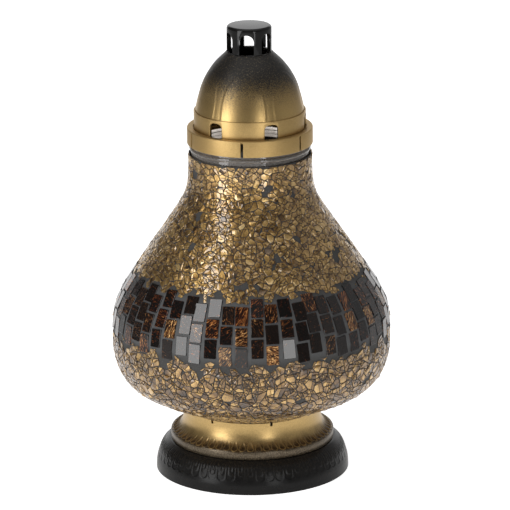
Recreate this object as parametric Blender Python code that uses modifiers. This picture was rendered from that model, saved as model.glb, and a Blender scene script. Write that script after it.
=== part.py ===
"""Mosaic glass candle lantern: a two-piece plastic base, a glass vessel under a skin of mosaic, a
vented lid that lifts off its neck, and a candle insert standing inside. Metres, +Z up. The origin is
on the floor, on the lantern's axis, and -Y is the front."""

import math

import bmesh
import bpy
from mathutils import Matrix, Vector

MM = 0.001
GAP = 0.3  # left between two pieces that touch or rest on each other, in mm
SEGMENTS = 36  # facets round a large turned piece
SMALL_SEGMENTS = 24
WICK_SEGMENTS = 12
FOLD = 6  # slits, windows and hooks repeat six times
NOTCHES = 7  # grip notches round the top of the pedestal
FRONT = math.radians(-90)
SHARP_ANGLE = math.radians(35)

# Driving sizes of what shows, in mm
HEIGHT = 330.0
FOOT_RADIUS, FOOT_TOP = 70.1, 22.4
LEDGE_RADIUS, LEDGE_TOP = 59.2, 28.9
WAIST_RADIUS, WAIST_TOP = 49.8, 47.0
MOSAIC_BOTTOM, MOSAIC_TOP = 47.4, 236.8
TILES_LOW, TILES_HIGH = 107.4, 152.8
NECK_RADIUS = 44.8  # over the mosaic
RIM_TOP = 252.8
COLLAR_RADIUS, COLLAR_BOTTOM, COLLAR_TOP = 45.15, 243.8, 255.6
VENT_RADIUS, VENT_TOP = 40.2, 268.1
DOME_RADIUS = 39.1
CROWN_TOP = 310.6
HOOD_RADIUS = 16.1

# Walls and layers, in mm
PLASTIC_WALL = 1.5
BASE_WALL = 2.2
CHIP_THICK = 0.8
GROUT_THICK = 0.7
GLASS_DEPTH = CHIP_THICK + GROUT_THICK + 2 * GAP  # from the mosaic's face in to the glass
GLASS_WALL = 3.0

# Seats where one piece rests on another, in mm
DECK_TOP = 37.7
VESSEL_BOTTOM = DECK_TOP + GAP
VESSEL_FLOOR = VESSEL_BOTTOM + 3.5
VENT_SEAT = COLLAR_TOP - 1.3
VENT_BOTTOM = VENT_SEAT + GAP
VENT_SHOULDER = VENT_TOP - 1.7
VENT_INSIDE = 38.1
SHIELD_LOW = VENT_SHOULDER + GAP
SHIELD_THICK = 0.5
DOME_LOW = SHIELD_LOW + SHIELD_THICK + GAP

# Candle insert, in mm
CUP_BOTTOM = VESSEL_FLOOR + GAP
CUP_HEIGHT = 112.0
CUP_TOP = CUP_BOTTOM + CUP_HEIGHT
CUP_FLOOR_RADIUS, CUP_RIM_RADIUS = 27.5, 30.5
CUP_WALL, CUP_FLOOR = 0.8, 1.0
WAX_TOP = CUP_TOP - 6.0
WICK_TOP = WAX_TOP + 10.0
WICK_RADIUS = 1.0
WICK_HOLE = WICK_RADIUS + GAP

# The mosaic's outer face from heel to neck, as (radius, height)
BODY_CURVE = [
    (50.9, MOSAIC_BOTTOM),
    (63.0, 53.4),
    (85.7, 64.1),
    (97.5, 79.3),
    (101.5, 103.5),
    (96.4, 129.4),
    (76.7, 161.3),
    (56.3, 191.4),
    (47.1, 207.8),
    (NECK_RADIUS, 222.0),
    (NECK_RADIUS, MOSAIC_TOP),
]
BODY_LEVELS = 14

DOME_CURVE = [(17.1, 310.2), (26.0, 301.3), (33.2, 289.5), (37.0, 277.7), (DOME_RADIUS, 268.4)]
DOME_LEVELS = 7


def clear_scene():
    for obj in list(bpy.data.objects):
        bpy.data.objects.remove(obj)


def new_collection(name):
    collection = bpy.data.collections.new(name)
    bpy.context.scene.collection.children.link(collection)
    return collection


def new_material(name, colour, roughness, metallic=0.0, transmission=0.0):
    material = bpy.data.materials.new(name)
    material.use_nodes = True
    shader = material.node_tree.nodes["Principled BSDF"]
    shader.inputs["Base Color"].default_value = (*colour, 1.0)
    shader.inputs["Roughness"].default_value = roughness
    shader.inputs["Metallic"].default_value = metallic
    shader.inputs["Transmission Weight"].default_value = transmission
    return material


# Outlines: lists of (radius, height) in mm


def through(points, levels):
    """A smooth curve through the points, as this many points evenly spaced along it."""
    fine = []
    padded = [points[0], *points, points[-1]]
    for p, q, r, s in zip(padded, padded[1:], padded[2:], padded[3:]):
        for step in range(12):
            t = step / 12
            fine.append(tuple(
                b + 0.5 * t * (c - a + t * (2 * a - 5 * b + 4 * c - d + t * (3 * b - a - 3 * c + d)))
                for a, b, c, d in zip(p, q, r, s)
            ))
    fine.append(points[-1])
    reached = [0.0]
    for p, q in zip(fine, fine[1:]):
        reached.append(reached[-1] + math.dist(p, q))
    spaced = []
    for level in range(levels):
        wanted = reached[-1] * level / (levels - 1)
        i = max(k for k, length in enumerate(reached[:-1]) if length <= wanted)
        share = (wanted - reached[i]) / (reached[i + 1] - reached[i])
        spaced.append(tuple(p + (q - p) * share for p, q in zip(fine[i], fine[i + 1])))
    return spaced


def inset(points, depth):
    """An outer line moved into the wall, square to itself. It may run up or down."""
    moved = []
    for i, (r, z) in enumerate(points):
        before, after = points[max(i - 1, 0)], points[min(i + 1, len(points) - 1)]
        along = Vector((after[0] - before[0], after[1] - before[1])).normalized()
        if along.y < 0:
            along.negate()
        moved.append((r - along.y * depth, z + along.x * depth))
    return moved


def between(points, low, high):
    """The stretch of a rising line from height low to height high."""

    def at(height):
        if height <= points[0][1]:
            return points[0]
        for (r0, z0), (r1, z1) in zip(points, points[1:]):
            if height <= z1:
                return (r0 + (r1 - r0) * (height - z0) / (z1 - z0), height)
        return points[-1]

    return [at(low), *[p for p in points if low + GAP < p[1] < high - GAP], at(high)]


# Solids and cutters


def turned(name, outline, material, collection, closed=True, segments=SEGMENTS):
    """A solid of revolution. The outline runs down the outer side and back up the inner side. One
    that isn't closed starts and ends on the axis instead."""
    mesh = bpy.data.meshes.new(name)
    edges = [(i, i + 1) for i in range(len(outline) - 1)]
    if closed:
        edges.append((len(outline) - 1, 0))
    mesh.from_pydata([(r * MM, 0.0, z * MM) for r, z in outline], edges, [])
    mesh.materials.append(material)
    obj = bpy.data.objects.new(name, mesh)
    collection.objects.link(obj)
    screw = obj.modifiers.new("turn", "SCREW")
    screw.axis = "Z"
    screw.angle = math.tau
    screw.steps = screw.render_steps = segments
    screw.use_merge_vertices = True
    screw.merge_threshold = 0.00001
    return obj


def arched(width, low, high, corner):
    """An opening with rounded top corners, as (across, up), anticlockwise from the bottom left."""
    half = width / 2
    points = [(-half, low), (half, low)]
    for side, first_angle in ((1, 0), (-1, 90)):
        for step in range(4):
            angle = math.radians(first_angle + 30 * step)
            points.append((side * (half - corner) + corner * math.cos(angle),
                           high - corner + corner * math.sin(angle)))
    return points


def slot(width, low, high):
    half = width / 2
    return [(-half, low), (half, low), (half, high), (-half, high)]


def cutter_object(name, shape, collection):
    bmesh.ops.recalc_face_normals(shape, faces=shape.faces)
    mesh = bpy.data.meshes.new(name)
    shape.to_mesh(mesh)
    shape.free()
    obj = bpy.data.objects.new(name, mesh)
    obj.hide_render = True
    obj.display_type = "WIRE"
    collection.objects.link(obj)
    return obj


def radial_cutter(name, outline, inner, outer, collection, turn=0.0, count=FOLD):
    """An outline repeated round the axis, each pushed outwards from one radius to another."""
    shape = bmesh.new()
    for k in range(count):
        place = Matrix.Rotation(FRONT + math.radians(turn) + math.tau * k / count, 4, "Z")
        face = shape.faces.new([shape.verts.new(place @ Vector((inner * MM, across * MM, up * MM)))
                                for across, up in outline])
        pushed = bmesh.ops.extrude_face_region(shape, geom=[face], use_keep_orig=True)
        bmesh.ops.translate(
            shape,
            vec=place @ Vector(((outer - inner) * MM, 0, 0)),
            verts=[item for item in pushed["geom"] if isinstance(item, bmesh.types.BMVert)],
        )
    return cutter_object(name, shape, collection)


def hole_cutter(name, radius, ring_radius, low, high, collection):
    """Upright round holes, evenly spaced on a circle."""
    shape = bmesh.new()
    for k in range(FOLD):
        angle = FRONT + math.tau * (k + 0.5) / FOLD
        centre = Vector((ring_radius * math.cos(angle), ring_radius * math.sin(angle), (low + high) / 2))
        bmesh.ops.create_cone(shape, cap_ends=True, segments=10, radius1=radius * MM,
                              radius2=radius * MM, depth=(high - low) * MM,
                              matrix=Matrix.Translation(centre * MM))
    return cutter_object(name, shape, collection)


def cut(obj, cutter):
    modifier = obj.modifiers.new(cutter.name, "BOOLEAN")
    modifier.operation = "DIFFERENCE"
    modifier.solver = "EXACT"
    modifier.object = cutter


# The base


def make_foot(parts, black):
    """A low skirt, open underneath, with a flat shoulder and a ring that centres the pedestal."""
    ring_outer, ring_inner, ring_top = 56.7, 54.5, 26.3
    shoulder_under = FOOT_TOP - BASE_WALL
    side = through([(FOOT_RADIUS, 0.0), (69.3, 8.9), (65.8, 18.1), (60.4, FOOT_TOP)], 7)
    inner_side = [(FOOT_RADIUS - BASE_WALL, 0.0)]
    inner_side += [p for p in inset(side, BASE_WALL)[1:] if p[1] < shoulder_under - 1]
    return turned(
        "foot",
        [
            (ring_inner, ring_top),
            (ring_outer, ring_top),
            (ring_outer, FOOT_TOP),
            *reversed(side),
            *inner_side,
            (58.5, shoulder_under),
            (ring_inner, shoulder_under),
        ],
        black,
        parts,
    )


def make_pedestal(parts, cutters, gold):
    """A flared waist with a rim below, a deck that carries the glass and six fingers that grip it."""
    deck_hole, deck_under, grip_radius = 18.0, DECK_TOP - 2.0, 48.0
    rim_bottom, rim_inside = FOOT_TOP + GAP, 57.0
    flare = through([(WAIST_RADIUS, WAIST_TOP), (49.7, 42.0), (50.8, 36.0), (53.6, 31.8),
                     (LEDGE_RADIUS - 0.8, LEDGE_TOP)], 7)
    pedestal = turned(
        "pedestal",
        [
            *flare,
            (LEDGE_RADIUS, LEDGE_TOP - 0.6),
            (LEDGE_RADIUS, rim_bottom),
            (rim_inside, rim_bottom),
            (rim_inside, 26.8),
            (51.0, 32.0),
            (48.6, deck_under),
            (deck_hole, deck_under),
            (deck_hole, DECK_TOP),
            (grip_radius, DECK_TOP),
            (grip_radius, WAIST_TOP),
        ],
        gold,
        parts,
    )
    notch = slot(1.8, WAIST_TOP - 4.5, WAIST_TOP + 1)
    cut(pedestal, radial_cutter("grip_notches", notch, 46.5, 51.5, cutters, turn=23.5,
                                count=NOTCHES))
    return pedestal


# The vessel and its mosaic


def make_vessel(parts, glass, face):
    """One blown glass body: a flat heel, a low round belly and a neck with a bead under the lid."""
    outside = inset(face, GLASS_DEPTH)
    inside = inset(face, GLASS_DEPTH + GLASS_WALL)
    neck, mouth = outside[-1][0] + 0.1, inside[-1][0]
    heel = 47.6
    return turned(
        "glass_vessel",
        [
            (0.0, VESSEL_FLOOR),
            (43.0, VESSEL_FLOOR),
            (45.8, VESSEL_FLOOR + 3.5),
            *inside[::2],
            (mouth, RIM_TOP - 0.6),
            (mouth + 0.6, RIM_TOP),
            (neck - 0.9, RIM_TOP),
            (neck, RIM_TOP - 0.9),
            (neck, 242.2),
            (neck + 0.9, 241.6),
            (neck + 0.9, 239.6),
            (neck, 239.0),
            *reversed(outside[1:]),
            (heel, 48.6),
            (heel, VESSEL_BOTTOM + 0.8),
            (heel - 0.8, VESSEL_BOTTOM),
            (0.0, VESSEL_BOTTOM),
        ],
        glass,
        parts,
        closed=False,
    )


def make_mosaic(parts, grout, chips, tiles, face):
    """Skins over the glass: a bed of grout, then crushed chips with three rows of tiles between."""
    bed_face = inset(face, CHIP_THICK + GAP)
    bed_back = inset(face, CHIP_THICK + GAP + GROUT_THICK)
    turned("grout_bed", [*reversed(bed_face), *bed_back], grout, parts)
    back = inset(face, CHIP_THICK)
    row = (TILES_HIGH - TILES_LOW) / 3
    for name, low, high, material in (
        ("gold_chips_lower", MOSAIC_BOTTOM, TILES_LOW, chips),
        ("tile_row_lower", TILES_LOW, TILES_LOW + row, tiles),
        ("tile_row_middle", TILES_LOW + row, TILES_HIGH - row, tiles),
        ("tile_row_upper", TILES_HIGH - row, TILES_HIGH, tiles),
        ("gold_chips_upper", TILES_HIGH, MOSAIC_TOP, chips),
    ):
        low += GAP / 2
        high -= GAP / 2
        turned(name, [*reversed(between(face, low, high)), *between(back, low, high)], material, parts)


# The lid


def make_collar(parts, cutters, gold):
    """A ring that rests on the glass rim, slit into six fingers that hang round the neck."""
    finger_inside, lip_inside, flange_inside = 43.6, 43.15, 38.6
    seat_radius = VENT_RADIUS + 2 * GAP
    collar = turned(
        "neck_collar",
        [
            (seat_radius, COLLAR_TOP),
            (COLLAR_RADIUS - 0.8, COLLAR_TOP),
            (COLLAR_RADIUS, COLLAR_TOP - 0.8),
            (COLLAR_RADIUS, COLLAR_BOTTOM),
            (lip_inside, COLLAR_BOTTOM),
            (lip_inside, COLLAR_BOTTOM + 1.8),
            (finger_inside, COLLAR_BOTTOM + 2.4),
            (finger_inside, RIM_TOP + GAP),
            (flange_inside, RIM_TOP + GAP),
            (flange_inside, VENT_SEAT),
            (seat_radius, VENT_SEAT),
        ],
        gold,
        parts,
    )
    slit = slot(2.0, COLLAR_BOTTOM - 1, COLLAR_TOP - 0.9)
    cut(collar, radial_cutter("collar_slits", slit, 42.0, 46.5, cutters))
    return collar


def make_vent_band(parts, cutters, gold):
    """A ring of six draught windows on the collar. Its shoulder carries the heat shield and dome."""
    seat_radius = DOME_RADIUS + GAP
    band = turned(
        "vent_band",
        [
            (seat_radius, VENT_TOP),
            (VENT_RADIUS, VENT_TOP),
            (VENT_RADIUS, VENT_BOTTOM),
            (VENT_INSIDE, VENT_BOTTOM),
            (VENT_INSIDE, VENT_SHOULDER),
            (seat_radius, VENT_SHOULDER),
        ],
        gold,
        parts,
    )
    window = arched(10.6, VENT_BOTTOM - 1, VENT_SHOULDER - 0.6, 3.8)
    cut(band, radial_cutter("vent_windows", window, 35.5, 42.5, cutters, turn=30))
    return band


def make_dome(parts, gold):
    crown_hole = 14.5
    outside = through(DOME_CURVE, DOME_LEVELS)
    return turned(
        "dome",
        [
            (crown_hole, CROWN_TOP),
            (16.6, CROWN_TOP),
            *outside,
            (DOME_RADIUS, DOME_LOW),
            (DOME_RADIUS - PLASTIC_WALL, DOME_LOW),
            *reversed(inset(outside, PLASTIC_WALL)[:-1]),
            (crown_hole, CROWN_TOP - PLASTIC_WALL),
        ],
        gold,
        parts,
    )


def make_hood(parts, cutters, black):
    """A cap on six legs that clip into the dome's crown, so that smoke leaves and rain stays out."""
    leg_bottom = CROWN_TOP + GAP
    hook_top = CROWN_TOP - PLASTIC_WALL - GAP
    spigot, hook, inside, cap_under = 14.2, 15.0, 13.0, HEIGHT - 3.0
    hood = turned(
        "chimney_hood",
        [
            (0.0, HEIGHT),
            (HOOD_RADIUS - 1.6, HEIGHT),
            (HOOD_RADIUS - 0.4, HEIGHT - 0.5),
            (HOOD_RADIUS, HEIGHT - 1.6),
            (HOOD_RADIUS, leg_bottom),
            (spigot, leg_bottom),
            (spigot, hook_top),
            (hook, hook_top),
            (spigot, hook_top - 1.4),
            (inside, hook_top - 1.4),
            (inside, cap_under),
            (0.0, cap_under),
        ],
        black,
        parts,
        closed=False,
        segments=SMALL_SEGMENTS,
    )
    window = arched(10.4, hook_top - 3, 325.6, 5.1)
    cut(hood, radial_cutter("hood_windows", window, 9.5, 18.0, cutters))
    return hood


def make_heat_shield(parts, cutters, aluminium):
    """A dished plate clamped between the vent band and the dome, with a flue and draught holes."""
    flue, dish = 11.0, 4.7
    shield = turned(
        "heat_shield",
        [
            (flue, SHIELD_LOW + dish + SHIELD_THICK),
            (34.0, SHIELD_LOW + 3.1),
            (36.0, SHIELD_LOW + SHIELD_THICK),
            (DOME_RADIUS, SHIELD_LOW + SHIELD_THICK),
            (DOME_RADIUS, SHIELD_LOW),
            (35.7, SHIELD_LOW),
            (33.7, SHIELD_LOW + 2.6),
            (flue, SHIELD_LOW + dish),
        ],
        aluminium,
        parts,
    )
    cut(shield, hole_cutter("draught_holes", 3.0, 23.0, SHIELD_LOW - 1, SHIELD_LOW + 9, cutters))
    return shield


# The candle insert


def make_candle(parts, plastic, wax, tin, cotton):
    """A tall cup filled with wax under a pressed lid ring, its wick held upright by a disc."""
    floor_inside, rim_inside = CUP_FLOOR_RADIUS - CUP_WALL, CUP_RIM_RADIUS - CUP_WALL
    wick_bottom = CUP_BOTTOM + CUP_FLOOR + GAP
    disc_top = wick_bottom + 0.6
    neck_top = disc_top + 4.0

    def cup_inside(height):
        return floor_inside + (rim_inside - floor_inside) * (height - CUP_BOTTOM) / CUP_HEIGHT

    cup = turned(
        "candle_cup",
        [
            (0.0, CUP_BOTTOM + CUP_FLOOR),
            (cup_inside(CUP_BOTTOM + CUP_FLOOR), CUP_BOTTOM + CUP_FLOOR),
            (rim_inside, CUP_TOP),
            (CUP_RIM_RADIUS, CUP_TOP),
            (CUP_FLOOR_RADIUS, CUP_BOTTOM),
            (0.0, CUP_BOTTOM),
        ],
        plastic,
        parts,
        closed=False,
    )
    lid_low, lid_high, lid_hole, skirt = CUP_TOP + GAP, CUP_TOP + GAP + 0.5, 18.0, CUP_RIM_RADIUS + GAP
    lid_ring = turned(
        "candle_lid_ring",
        [
            (lid_hole, lid_high),
            (skirt + 0.5, lid_high),
            (skirt + 0.5, lid_low - 4.5),
            (skirt, lid_low - 4.5),
            (skirt, lid_low),
            (lid_hole, lid_low),
        ],
        tin,
        parts,
    )
    wax_low = disc_top + GAP
    fill = turned(
        "wax",
        [
            (WICK_HOLE, WAX_TOP),
            (cup_inside(WAX_TOP) - GAP, WAX_TOP),
            (cup_inside(wax_low) - GAP, wax_low),
            (2.4, wax_low),
            (2.4, neck_top + GAP),
            (WICK_HOLE, neck_top + GAP),
        ],
        wax,
        parts,
        segments=SMALL_SEGMENTS,
    )
    disc = turned(
        "wick_sustainer",
        [
            (WICK_HOLE, neck_top),
            (WICK_HOLE + 0.7, neck_top),
            (WICK_HOLE + 0.7, disc_top),
            (9.0, disc_top),
            (9.0, wick_bottom),
            (WICK_HOLE, wick_bottom),
        ],
        tin,
        parts,
        segments=WICK_SEGMENTS,
    )
    wick = turned(
        "wick",
        [(0.0, WICK_TOP), (WICK_RADIUS, WICK_TOP), (WICK_RADIUS, wick_bottom), (0.0, wick_bottom)],
        cotton,
        parts,
        closed=False,
        segments=WICK_SEGMENTS,
    )
    return [cup, lid_ring, fill, disc, wick]


# Assembly


def hold(name, height, pieces, collection):
    """Parents the pieces of one moving group to an empty on the axis they lift along."""
    empty = bpy.data.objects.new(name, None)
    empty.location = (0.0, 0.0, height * MM)
    collection.objects.link(empty)
    bpy.context.view_layer.update()
    for piece in pieces:
        piece.parent = empty
        piece.matrix_parent_inverse = empty.matrix_world.inverted()


def settle(collection):
    """Applies each piece's modifiers, then shades it smooth with its corners kept sharp."""
    graph = bpy.context.evaluated_depsgraph_get()
    for piece in collection.objects:
        if piece.type != "MESH":
            continue
        mesh = bpy.data.meshes.new_from_object(piece.evaluated_get(graph))
        piece.modifiers.clear()
        piece.data = mesh
        mesh.shade_smooth()
        mesh.set_sharp_from_angle(angle=SHARP_ANGLE)


def main():
    clear_scene()
    parts = new_collection("mosaic_candle_lantern")
    cutters = new_collection("cutters")

    gold = new_material("gold_paint", (0.42, 0.29, 0.11), 0.35, metallic=0.8)
    black = new_material("black_plastic", (0.02, 0.02, 0.02), 0.3)
    glass = new_material("clear_glass", (0.93, 0.95, 0.92), 0.02, transmission=1.0)
    grout = new_material("grout", (0.1, 0.1, 0.105), 0.8)
    chips = new_material("gold_glass", (0.5, 0.33, 0.1), 0.2, metallic=0.6)
    tiles = new_material("brown_glass", (0.03, 0.015, 0.008), 0.1)
    tin = new_material("tinned_sheet", (0.8, 0.8, 0.8), 0.35, metallic=1.0)
    cup_plastic = new_material("cup_plastic", (0.85, 0.83, 0.76), 0.4)
    wax = new_material("wax", (0.9, 0.87, 0.78), 0.5)
    cotton = new_material("cotton", (0.85, 0.82, 0.75), 0.9)

    make_foot(parts, black)
    make_pedestal(parts, cutters, gold)
    face = through(BODY_CURVE, BODY_LEVELS)
    make_vessel(parts, glass, face)
    make_mosaic(parts, grout, chips, tiles, face)
    lid = [
        make_collar(parts, cutters, gold),
        make_vent_band(parts, cutters, gold),
        make_heat_shield(parts, cutters, tin),
        make_dome(parts, gold),
        make_hood(parts, cutters, black),
    ]
    candle = make_candle(parts, cup_plastic, wax, tin, cotton)
    hold("lid", RIM_TOP, lid, parts)
    hold("candle", CUP_BOTTOM, candle, parts)
    settle(parts)


main()
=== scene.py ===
import random
from math import atan2, copysign, cos, hypot, pi, radians, sin, tan, tau

import bmesh
import bpy
import numpy as np
from mathutils import Matrix, Vector, geometry, noise


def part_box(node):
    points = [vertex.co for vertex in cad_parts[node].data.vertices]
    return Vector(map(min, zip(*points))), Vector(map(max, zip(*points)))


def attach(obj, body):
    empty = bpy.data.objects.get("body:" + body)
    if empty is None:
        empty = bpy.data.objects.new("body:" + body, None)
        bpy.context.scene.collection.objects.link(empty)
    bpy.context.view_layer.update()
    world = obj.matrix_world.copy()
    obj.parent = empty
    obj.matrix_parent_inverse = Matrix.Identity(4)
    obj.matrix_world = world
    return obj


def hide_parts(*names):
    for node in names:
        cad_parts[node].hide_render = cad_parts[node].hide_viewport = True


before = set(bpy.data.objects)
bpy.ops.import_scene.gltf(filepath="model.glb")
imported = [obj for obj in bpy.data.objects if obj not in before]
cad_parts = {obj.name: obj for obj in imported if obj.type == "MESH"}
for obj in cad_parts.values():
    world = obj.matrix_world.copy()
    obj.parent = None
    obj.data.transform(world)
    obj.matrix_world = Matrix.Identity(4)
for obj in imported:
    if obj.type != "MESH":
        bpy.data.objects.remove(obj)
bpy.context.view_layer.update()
mm = 0.001
front = -pi / 2  # a collar slit, a hood window and a dome panel face this way
fold = 6
dice = random.Random(11)


# ---- outlines and turned shapes ----

def boxMm(node):
    # radius, bottom and top of a solid
    low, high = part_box(node)
    return high.x / mm, low.z / mm, high.z / mm


def smoothStep(low, high, value):
    t = min(1.0, max(0.0, (value - low) / (high - low)))
    return t * t * (3 - 2 * t)


def lengthAlong(points):
    # how far along an outline each of its points lies
    return np.concatenate([[0], np.cumsum(np.hypot(*np.diff(np.array(points), axis=0).T))])


def smoothLine(points, count):
    # a curve through (radius, height) points, evenly stepped along its length
    padded = [points[0], *points, points[-1]]
    fine = []
    for p, q, r, s in zip(padded, padded[1:], padded[2:], padded[3:]):
        for step in range(16):
            t = step / 16
            fine.append([b + 0.5 * t * (c - a + t * (2 * a - 5 * b + 4 * c - d + t * (3 * b - a - 3 * c + d)))
                for a, b, c, d in zip(p, q, r, s)])
    fine = np.array([*fine, points[-1]], float)
    reached = lengthAlong(fine)
    wanted = np.linspace(0, reached[-1], count)
    return list(zip(*(np.interp(wanted, reached, side).tolist() for side in fine.T)))


def insetLine(points, depth):
    # the same line moved into the wall, square to itself
    moved = []
    for i, (r, z) in enumerate(points):
        before, after = points[max(i - 1, 0)], points[min(i + 1, len(points) - 1)]
        along = Vector((after[0] - before[0], after[1] - before[1])).normalized()
        if along.y < 0:
            along.negate()
        moved.append((r - along.y * depth, z + along.x * depth))
    return moved


def roundedLine(points, sizes, steps):
    # rounds each corner of an outline by its own size
    line = []
    for i, (point, size) in enumerate(zip(points, sizes)):
        here = Vector(point)
        if not size:
            line.append(tuple(here))
            continue
        back, on = Vector(points[i - 1]) - here, Vector(points[i + 1]) - here
        reach = min(size, back.length * 0.45, on.length * 0.45)
        start, end = here + back.normalized() * reach, here + on.normalized() * reach
        for step in range(steps + 1):
            t = step / steps
            line.append(tuple((1 - t) ** 2 * start + 2 * t * (1 - t) * here + t * t * end))
    return line


def archLine(width, low, high, corner, steps=8):
    # a round-topped opening as (across, up)
    half = width / 2
    line = [(-half, low), (half, low)]
    for side, start in ((1, 0), (-1, 90)):
        for step in range(steps + 1):
            a = radians(start + 90 * step / steps)
            line.append(((half - corner) * side + corner * cos(a), high - corner + corner * sin(a)))
    return line


def wallFinder(line):
    # gives the radius of a wall at a height
    heights, radii = np.array(sorted((z, r) for r, z in line)).T
    return lambda height: np.interp(height, heights, radii)


def offMiddle(angle, pitch, radius):
    # how far a point lies round the wall from the middle of the nearest repeat
    return abs((angle / pitch + 0.5) % 1 - 0.5) * pitch * radius


def shapeRound(bm, moveBy):
    # moves each point by moveBy(angle from the front, radius, height), which gives (out, up) in mm
    for vert in bm.verts:
        radius = hypot(vert.co.x, vert.co.y)
        if radius < 1e-6:
            continue
        angle = atan2(vert.co.y, vert.co.x) - front
        out, up = moveBy(angle, radius / mm, vert.co.z / mm)
        vert.co.x += vert.co.x / radius * out * mm
        vert.co.y += vert.co.y / radius * out * mm
        vert.co.z += up * mm


def vertsOf(geom):
    return [item for item in geom if isinstance(item, bmesh.types.BMVert)]


def closeUp(bm, apart):
    # joins the points that meet and turns every face outwards
    bmesh.ops.remove_doubles(bm, verts=bm.verts[:], dist=apart * mm)
    bmesh.ops.recalc_face_normals(bm, faces=bm.faces[:])


def dropFaces(bm, faces):
    bmesh.ops.delete(bm, geom=faces, context="FACES")


def turnMesh(line, steps, closed=True, repeat=12, relief=None):
    # spins one sector of an outline in mm, shapes it, then repeats it round the axis
    bm = bmesh.new()
    verts = [bm.verts.new((r * mm, 0, z * mm)) for r, z in line]
    edges = [bm.edges.new(pair) for pair in zip(verts, verts[1:])]
    if closed:
        edges.append(bm.edges.new((verts[-1], verts[0])))
    bmesh.ops.spin(bm, geom=verts + edges, cent=(0, 0, 0), axis=(0, 0, 1), angle=tau / repeat,
        steps=steps // repeat)
    if relief:
        shapeRound(bm, relief)
    sector = bm.verts[:] + bm.edges[:] + bm.faces[:]
    for k in range(1, repeat):
        copied = vertsOf(bmesh.ops.duplicate(bm, geom=sector)["geom"])
        bmesh.ops.rotate(bm, cent=(0, 0, 0), matrix=Matrix.Rotation(tau * k / repeat, 3, "Z"), verts=copied)
    closeUp(bm, 0.004)
    return bm


def windowCutters(line, inner, outer, turn=0.0, count=fold):
    # the outline pushed out through the wall, repeated round the axis
    bm = bmesh.new()
    for k in range(count):
        turned = Matrix.Rotation(front + radians(turn) + tau * k / count, 4, "Z")
        face = bm.faces.new([bm.verts.new(turned @ Vector((inner * mm, across * mm, up * mm)))
            for across, up in line])
        pushed = bmesh.ops.extrude_face_region(bm, geom=[face], use_keep_orig=True)["geom"]
        bmesh.ops.translate(bm, vec=turned @ Vector(((outer - inner) * mm, 0, 0)), verts=vertsOf(pushed))
    closeUp(bm, 0.002)
    return bm


def roundEdges(bm, edges, width, **more):
    return bmesh.ops.bevel(bm, geom=edges, affect="EDGES", offset=width * mm, segments=2, profile=0.5,
        material=-1, **more)["faces"]


def softenEdges(bm, width):
    # a small round on every sharp edge
    sharp = [e for e in bm.edges if len(e.link_faces) == 2 and e.calc_face_angle() > radians(40)]
    roundEdges(bm, sharp, width, clamp_overlap=True)


# ---- objects ----

def addObject(name, data):
    added = bpy.data.objects.new(name, data)
    bpy.context.scene.collection.objects.link(added)
    return added


def addMesh(name, bm):
    mesh = bpy.data.meshes.new(name)
    bm.to_mesh(mesh)
    bm.free()
    return addObject(name, mesh)


def cutAway(bm, cutters):
    # takes the cutters out of a shape with an exact Boolean and returns the result
    blank, cutter = addMesh("blank", bm), addMesh("cutter", cutters)
    cut = blank.modifiers.new("cut", "BOOLEAN")
    cut.operation, cut.solver, cut.object = "DIFFERENCE", "EXACT", cutter
    bpy.context.view_layer.update()
    result = bmesh.new()
    result.from_mesh(blank.evaluated_get(bpy.context.evaluated_depsgraph_get()).to_mesh())
    for piece in (blank, cutter):
        mesh = piece.data
        bpy.data.objects.remove(piece)
        bpy.data.meshes.remove(mesh)
    return result


def place(name, bm, material, mover, node, sharp=38):
    # finishes a piece: links it, shades it, gives it its material and its body, and hides the solid it stands for
    piece = addMesh(name, bm)
    piece.data.materials.append(material)
    piece.data.shade_smooth()
    piece.data.set_sharp_from_angle(angle=radians(sharp))
    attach(piece, mover)
    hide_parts(node)


# ---- materials ----

class NodeMaker:
    # adds nodes to one node tree
    def __init__(self, tree):
        self.tree = tree

    def node(self, kind, inputs=(), **settings):
        made = self.tree.nodes.new("ShaderNode" + kind)
        for key, value in settings.items():
            setattr(made, key, value)
        for key, value in dict(inputs).items():
            self.put(value, made.inputs[key])
        return made

    def put(self, value, socket):
        if isinstance(value, bpy.types.NodeSocket):
            self.tree.links.new(value, socket)
        else:
            socket.default_value = value

    def math(self, operation, a, b):
        return self.node("Math", {0: a, 1: b}, operation=operation).outputs[0]

    def plus(self, a, b):
        return self.math("ADD", a, b)

    def times(self, a, b):
        return self.math("MULTIPLY", a, b)

    def range(self, value, low, high, toLow=0.0, toHigh=1.0, **settings):
        return self.node("MapRange", {"Value": value, "From Min": low, "From Max": high, "To Min": toLow,
            "To Max": toHigh}, **settings).outputs["Result"]


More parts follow.
